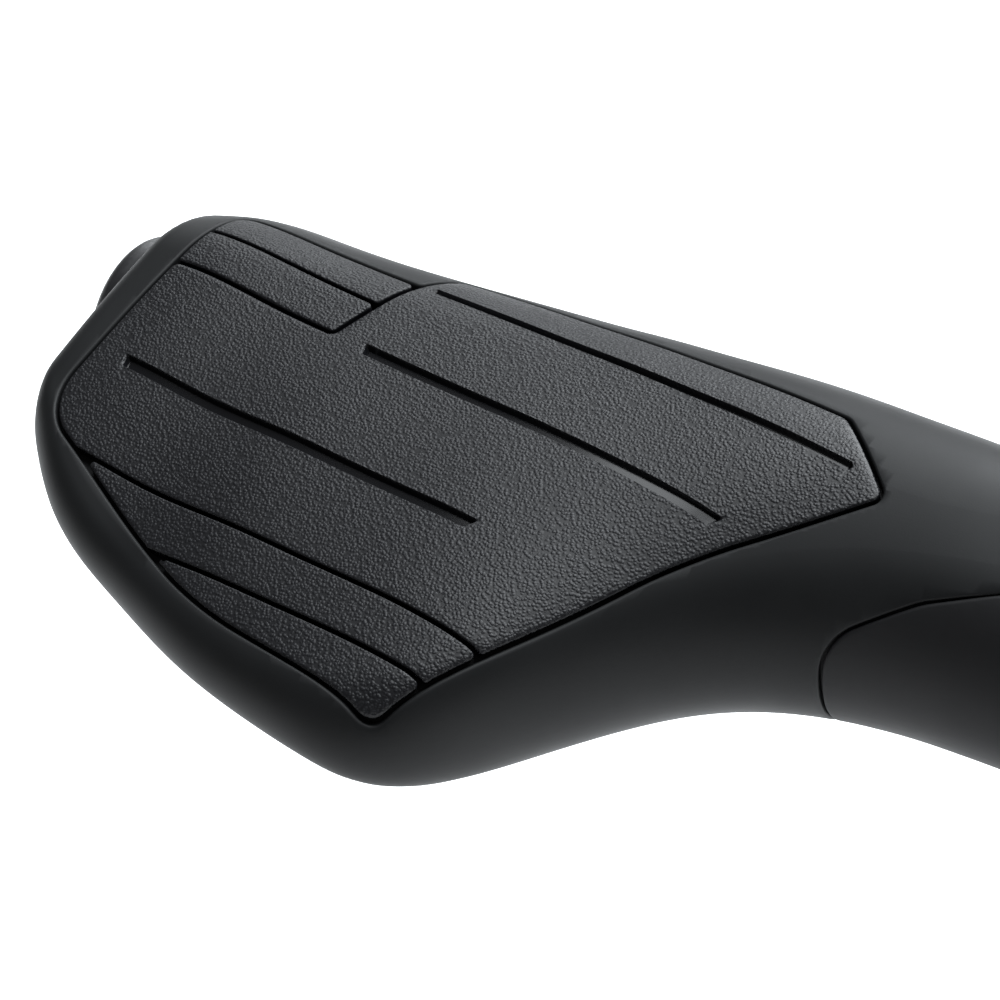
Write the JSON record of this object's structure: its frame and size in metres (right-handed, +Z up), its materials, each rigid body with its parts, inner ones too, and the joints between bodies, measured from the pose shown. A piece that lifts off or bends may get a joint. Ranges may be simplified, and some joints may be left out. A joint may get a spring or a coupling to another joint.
{
  "type": "bicycle handlebar grip",
  "caption": "Left-hand lock-on bicycle grip with a palm wing, grooved grained pads let into smooth rubber, an end cap and a bolted clamp ring.",
  "frame": {"origin": "on the bore axis, at the stop where the end of the handlebar seats", "axes": "+X inboard along the handlebar, -Y towards the rider (the wing), +Z up"},
  "size_m": [0.1371, 0.071, 0.0401],
  "materials": {
    "grip_rubber": "matt moulded rubber",
    "pad_rubber": "leather-grained rubber",
    "finger_rubber": "matt soft rubber",
    "nylon": "glass-filled nylon",
    "cap_plastic": "fine satin plastic",
    "anodised": "black anodised aluminium",
    "bolt_steel": "stainless steel"
  },
  "bodies": {
    "root": {"core_sleeve": "nylon", "grip_body": "grip_rubber", "palm_pad": "pad_rubber", "outer_pad_front": "pad_rubber", "outer_pad_rear": "pad_rubber", "heel_pad_upper": "pad_rubber", "heel_pad_lower": "pad_rubber", "finger_insert": "finger_rubber"},
    "cap": {"end_cap": "cap_plastic"},
    "lock_ring": {"clamp_ring": "anodised"},
    "washer": {"bolt_washer": "bolt_steel"},
    "bolt": {"clamp_bolt": "bolt_steel"}
  },
  "joints": [
    {"name": "cap_pull", "type": "slide", "parent": "root", "child": "cap", "axis": [-1, 0, 0], "range_m": [0, 0.012]},
    {"name": "ring_slide", "type": "slide", "parent": "root", "child": "lock_ring", "axis": [1, 0, 0], "range_m": [0, 0.016]},
    {"name": "bolt_travel", "type": "slide", "parent": "lock_ring", "child": "washer", "axis": [0, -1, 0], "range_m": [0, 0.0056]},
    {"name": "bolt_turn", "type": "hinge", "parent": "washer", "child": "bolt", "pos_m": [0.1234, 0, -0.01875], "axis": [0, -1, 0], "range_deg": [0, 2881]}
  ],
  "couplings": [
    {"joint": "bolt_turn", "follows": "bolt_travel", "rad_per_m": 8976}
  ]
}
